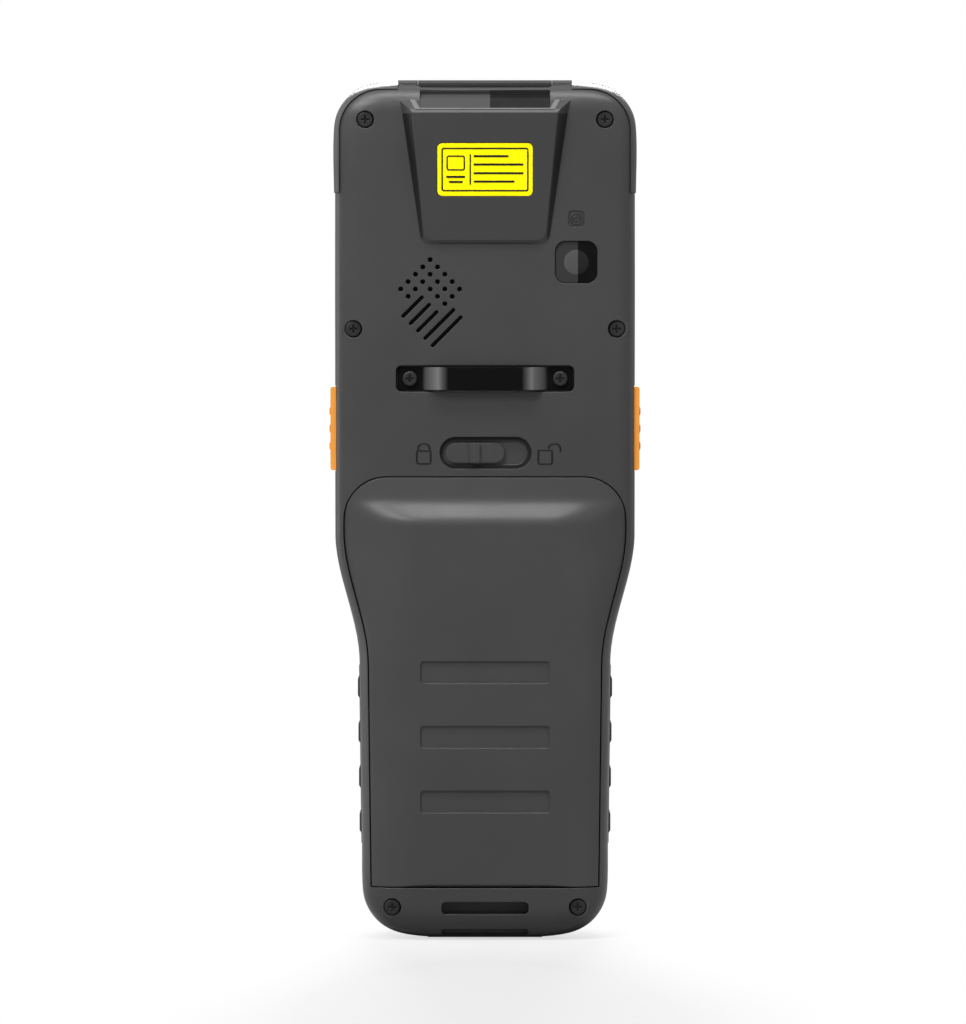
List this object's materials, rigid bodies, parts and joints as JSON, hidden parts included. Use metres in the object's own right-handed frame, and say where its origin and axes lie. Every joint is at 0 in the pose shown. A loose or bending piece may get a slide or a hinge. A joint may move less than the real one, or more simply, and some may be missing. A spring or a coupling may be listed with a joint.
{
  "type": "barcode data terminal",
  "caption": "Rugged handheld data terminal with raised scan hood, waisted keypad grip, hinged battery door with sliding latch, hand-strap bar, side scan triggers and sprung keys",
  "frame": {"origin": "centre of the bounding box on the plane that the dock foot stands on", "axes": "+Z along the terminal from its dock foot to the scan hood; +Y out of the screen and keypad; the back with the battery door faces -Y"},
  "size_m": [0.0742, 0.0264, 0.205],
  "materials": {
    "housing_plastic": "fine texture",
    "front_plastic": "fine texture",
    "door_plastic": "fine texture",
    "seal_rubber": "matt",
    "bumper_rubber": "ridged, matt",
    "grip_rubber": "matt",
    "trigger_plastic": "smooth satin",
    "switch_plastic": "satin",
    "latch_plastic": "fine texture",
    "latch_steel": "satin",
    "spring_steel": "satin",
    "bar_steel": "satin black",
    "screw_steel": "black satin",
    "window_glass": "polished",
    "cap_plastic": "fine texture",
    "engine_metal": "satin",
    "camera_glass": "polished",
    "module_plastic": "satin",
    "flash_plastic": "clear, ringed",
    "mesh_steel": "dark",
    "label_film": "smooth",
    "battery_plastic": "smooth",
    "contact_brass": "plated",
    "shield_metal": "satin",
    "connector_plastic": "satin",
    "board_laminate": "solder mask",
    "membrane_rubber": "matt",
    "display_plastic": "gloss",
    "touch_glass": "polished",
    "light_plastic": "clear",
    "key_rubber": "satin",
    "scan_key_rubber": "satin"
  },
  "bodies": {
    "housing": {"rear_housing": "housing_plastic", "front_housing": "front_plastic", "door_gasket": "seal_rubber", "bumper_right": "bumper_rubber", "bumper_left": "bumper_rubber", "side_grip_right": "grip_rubber", "side_grip_left": "grip_rubber", "trigger_switches": "switch_plastic", "latch_detent_spring": "spring_steel", "strap_bar": "bar_steel", "strap_bar_screws": "screw_steel", "housing_screws": "screw_steel", "scan_window": "window_glass", "scan_window_gasket": "seal_rubber", "scan_window_cap": "cap_plastic", "scan_engine": "engine_metal", "camera_window": "camera_glass", "camera_module": "module_plastic", "flash_lens": "flash_plastic", "flash_led": "module_plastic", "speaker": "module_plastic", "speaker_mesh": "mesh_steel", "vibration_motor": "engine_metal", "label_plate": "label_film", "casing_gasket": "seal_rubber", "battery_pack": "battery_plastic", "battery_contacts": "contact_brass", "card_sockets": "shield_metal", "dock_connector": "connector_plastic", "main_board": "board_laminate", "board_shields": "shield_metal", "keypad_board": "board_laminate", "keypad_membrane": "membrane_rubber", "display_panel": "display_plastic", "touch_glass": "touch_glass", "status_light": "light_plastic"},
    "door": {"battery_door": "door_plastic"},
    "latch": {"latch_slider": "latch_plastic", "latch_bolt": "latch_steel"},
    "trigger_right": {"scan_trigger_right": "trigger_plastic"},
    "trigger_left": {"scan_trigger_left": "trigger_plastic"},
    "key_left_function_body": {"key_left_function": "key_rubber"},
    "key_scan_body": {"key_scan": "scan_key_rubber"},
    "key_right_function_body": {"key_right_function": "key_rubber"},
    "key_escape_body": {"key_escape": "key_rubber"},
    "key_arrow_rocker_body": {"key_arrow_rocker": "key_rubber"},
    "key_enter_body": {"key_enter": "key_rubber"},
    "key_1_body": {"key_1": "key_rubber"},
    "key_2_body": {"key_2": "key_rubber"},
    "key_3_body": {"key_3": "key_rubber"},
    "key_4_body": {"key_4": "key_rubber"},
    "key_5_body": {"key_5": "key_rubber"},
    "key_6_body": {"key_6": "key_rubber"},
    "key_7_body": {"key_7": "key_rubber"},
    "key_8_body": {"key_8": "key_rubber"},
    "key_9_body": {"key_9": "key_rubber"},
    "key_star_body": {"key_star": "key_rubber"},
    "key_0_body": {"key_0": "key_rubber"},
    "key_hash_body": {"key_hash": "key_rubber"}
  },
  "joints": [
    {"name": "battery_door_hinge", "type": "hinge", "parent": "housing", "child": "door", "pos_m": [0, -0.01245, 0.0136], "axis": [1, 0, 0], "range_deg": [0, 50]},
    {"name": "latch_slide", "type": "slide", "parent": "housing", "child": "latch", "axis": [1, 0, 0], "range_m": [0, 0.0048]},
    {"name": "scan_trigger_right_press", "type": "slide", "parent": "housing", "child": "trigger_right", "axis": [-1, 0, 0], "range_m": [0, 0.0008], "stiffness_N_per_m": 900, "springref_m": -0.0003},
    {"name": "scan_trigger_left_press", "type": "slide", "parent": "housing", "child": "trigger_left", "axis": [1, 0, 0], "range_m": [0, 0.0008], "stiffness_N_per_m": 900, "springref_m": -0.0003},
    {"name": "key_left_function_press", "type": "slide", "parent": "housing", "child": "key_left_function_body", "axis": [0, -1, 0], "range_m": [0, 0.0005], "stiffness_N_per_m": 700, "springref_m": -0.0003},
    {"name": "key_scan_press", "type": "slide", "parent": "housing", "child": "key_scan_body", "axis": [0, -1, 0], "range_m": [0, 0.0005], "stiffness_N_per_m": 700, "springref_m": -0.0003},
    {"name": "key_right_function_press", "type": "slide", "parent": "housing", "child": "key_right_function_body", "axis": [0, -1, 0], "range_m": [0, 0.0005], "stiffness_N_per_m": 700, "springref_m": -0.0003},
    {"name": "key_escape_press", "type": "slide", "parent": "housing", "child": "key_escape_body", "axis": [0, -1, 0], "range_m": [0, 0.0005], "stiffness_N_per_m": 700, "springref_m": -0.0003},
    {"name": "key_arrow_rocker_press", "type": "slide", "parent": "housing", "child": "key_arrow_rocker_body", "axis": [0, -1, 0], "range_m": [0, 0.0005], "stiffness_N_per_m": 700, "springref_m": -0.0003},
    {"name": "key_enter_press", "type": "slide", "parent": "housing", "child": "key_enter_body", "axis": [0, -1, 0], "range_m": [0, 0.0005], "stiffness_N_per_m": 700, "springref_m": -0.0003},
    {"name": "key_1_press", "type": "slide", "parent": "housing", "child": "key_1_body", "axis": [0, -1, 0], "range_m": [0, 0.0005], "stiffness_N_per_m": 700, "springref_m": -0.0003},
    {"name": "key_2_press", "type": "slide", "parent": "housing", "child": "key_2_body", "axis": [0, -1, 0], "range_m": [0, 0.0005], "stiffness_N_per_m": 700, "springref_m": -0.0003},
    {"name": "key_3_press", "type": "slide", "parent": "housing", "child": "key_3_body", "axis": [0, -1, 0], "range_m": [0, 0.0005], "stiffness_N_per_m": 700, "springref_m": -0.0003},
    {"name": "key_4_press", "type": "slide", "parent": "housing", "child": "key_4_body", "axis": [0, -1, 0], "range_m": [0, 0.0005], "stiffness_N_per_m": 700, "springref_m": -0.0003},
    {"name": "key_5_press", "type": "slide", "parent": "housing", "child": "key_5_body", "axis": [0, -1, 0], "range_m": [0, 0.0005], "stiffness_N_per_m": 700, "springref_m": -0.0003},
    {"name": "key_6_press", "type": "slide", "parent": "housing", "child": "key_6_body", "axis": [0, -1, 0], "range_m": [0, 0.0005], "stiffness_N_per_m": 700, "springref_m": -0.0003},
    {"name": "key_7_press", "type": "slide", "parent": "housing", "child": "key_7_body", "axis": [0, -1, 0], "range_m": [0, 0.0005], "stiffness_N_per_m": 700, "springref_m": -0.0003},
    {"name": "key_8_press", "type": "slide", "parent": "housing", "child": "key_8_body", "axis": [0, -1, 0], "range_m": [0, 0.0005], "stiffness_N_per_m": 700, "springref_m": -0.0003},
    {"name": "key_9_press", "type": "slide", "parent": "housing", "child": "key_9_body", "axis": [0, -1, 0], "range_m": [0, 0.0005], "stiffness_N_per_m": 700, "springref_m": -0.0003},
    {"name": "key_star_press", "type": "slide", "parent": "housing", "child": "key_star_body", "axis": [0, -1, 0], "range_m": [0, 0.0005], "stiffness_N_per_m": 700, "springref_m": -0.0003},
    {"name": "key_0_press", "type": "slide", "parent": "housing", "child": "key_0_body", "axis": [0, -1, 0], "range_m": [0, 0.0005], "stiffness_N_per_m": 700, "springref_m": -0.0003},
    {"name": "key_hash_press", "type": "slide", "parent": "housing", "child": "key_hash_body", "axis": [0, -1, 0], "range_m": [0, 0.0005], "stiffness_N_per_m": 700, "springref_m": -0.0003}
  ]
}
